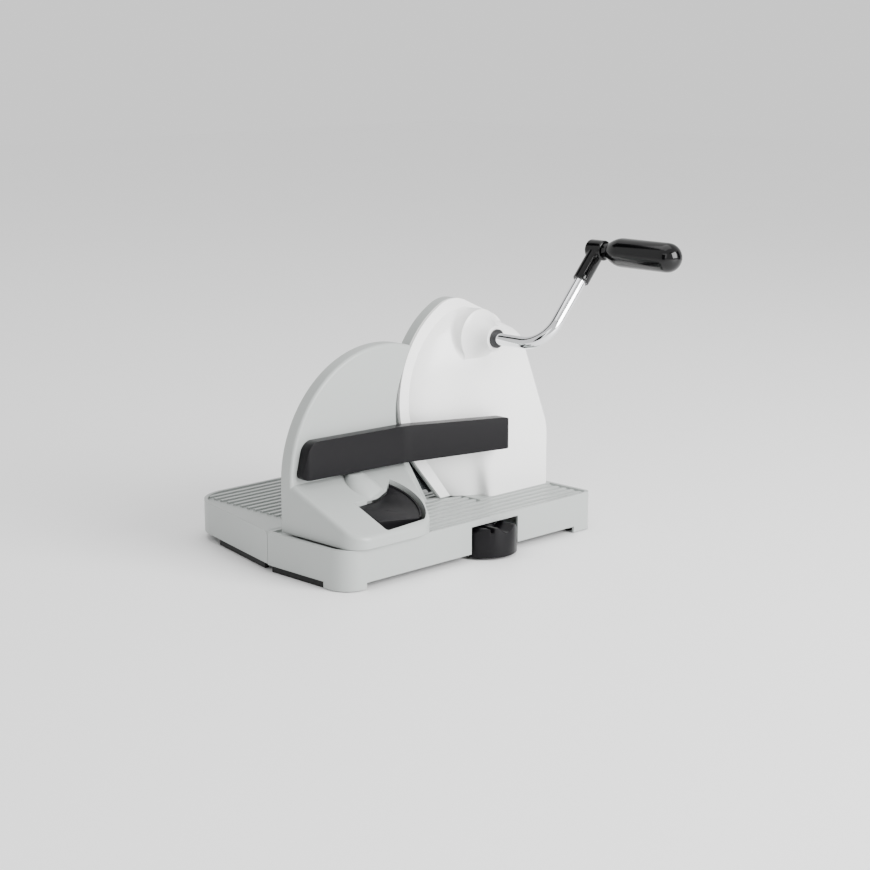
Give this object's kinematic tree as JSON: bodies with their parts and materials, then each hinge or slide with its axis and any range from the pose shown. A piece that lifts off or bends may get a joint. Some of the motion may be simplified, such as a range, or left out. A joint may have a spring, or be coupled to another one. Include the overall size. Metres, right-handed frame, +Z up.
{
  "type": "hand cranked bread slicer",
  "caption": "Hand cranked bread slicer: geared wave-edged round blade in a domed housing, sliding stop plate with thickness lever, folding table and suction foot.",
  "frame": {"origin": "on the bench, under the middle of the suction cup", "axes": "+X to the right along the base, +Y from the crank side towards the folding table, +Z up"},
  "size_m": [0.39, 0.4521, 0.3516],
  "materials": {
    "light_grey_plastic": "satin moulded plastic, light grey",
    "white_plastic": "smooth moulded plastic, off-white",
    "charcoal_plastic": "satin moulded plastic, charcoal",
    "dark_plastic": "matte moulded plastic, black",
    "black_gloss_plastic": "gloss moulded plastic, black",
    "gear_plastic": "acetal, natural",
    "chrome": "bright chrome plate",
    "blade_steel": "ground stainless steel",
    "steel": "zinc plated steel",
    "rubber": "black rubber"
  },
  "bodies": {
    "base": {"base_frame": "light_grey_plastic", "base_feet": "rubber", "base_end_strips": "rubber", "hinge_pins": "steel", "housing_cover": "white_plastic", "blade_frame": "light_grey_plastic", "blade_axle": "steel", "blade_cap": "dark_plastic", "cover_screws": "steel", "seat_screws": "steel", "crank_bush": "dark_plastic", "suction_lever_pin": "steel"},
    "table": {"folding_table": "light_grey_plastic", "table_feet": "rubber", "table_end_strips": "rubber"},
    "blade_set": {"blade": "blade_steel", "blade_gear": "gear_plastic", "blade_bush": "dark_plastic", "blade_screws": "steel"},
    "crank": {"crank_rod": "chrome", "crank_clip": "steel", "crank_socket": "dark_plastic", "knob_pin": "steel", "drive_pinion": "gear_plastic"},
    "knob": {"crank_knob": "black_gloss_plastic"},
    "stop": {"stop_plate": "light_grey_plastic", "guide_clips": "dark_plastic", "guide_screws": "steel", "slice_guard": "charcoal_plastic", "guard_screws": "steel", "lever_pivot": "steel"},
    "lever": {"thickness_lever": "charcoal_plastic", "cam_pin": "steel"},
    "suction_grip": {"suction_lever": "charcoal_plastic"},
    "suction_foot": {"suction_stem": "steel", "suction_cup": "rubber"}
  },
  "joints": [
    {"name": "crank_turn", "type": "hinge", "parent": "base", "child": "crank", "pos_m": [0.081, 0, 0.2355], "axis": [0, 1, 0], "continuous": true},
    {"name": "blade_spin", "type": "hinge", "parent": "base", "child": "blade_set", "pos_m": [0.081, 0, 0.1515], "axis": [0, 1, 0], "continuous": true},
    {"name": "knob_spin", "type": "hinge", "parent": "crank", "child": "knob", "pos_m": [0.17066, -0.1, 0.33508], "axis": [0, 1, 0], "continuous": true},
    {"name": "lever_turn", "type": "hinge", "parent": "stop", "child": "lever", "pos_m": [-0.105, -0.019, 0.053], "axis": [0, 0, 1], "range_deg": [0, 40]},
    {"name": "stop_slide", "type": "slide", "parent": "base", "child": "stop", "axis": [0, -1, 0], "range_m": [0, 0.014]},
    {"name": "table_fold", "type": "hinge", "parent": "base", "child": "table", "pos_m": [0, 0.0696, 0.04], "axis": [1, 0, 0], "range_deg": [0, 90]},
    {"name": "suction_turn", "type": "hinge", "parent": "base", "child": "suction_grip", "pos_m": [0.031, -0.048, 0.02], "axis": [0, 0, 1], "range_deg": [0, 50]},
    {"name": "suction_lift", "type": "slide", "parent": "base", "child": "suction_foot", "axis": [0, 0, 1], "range_m": [0, 0.004]}
  ],
  "couplings": [
    {"joint": "blade_spin", "follows": "crank_turn", "ratio": -0.2963},
    {"joint": "stop_slide", "follows": "lever_turn", "m_per_rad": 0.02005},
    {"joint": "suction_lift", "follows": "suction_turn", "m_per_rad": 0.00458}
  ]
}
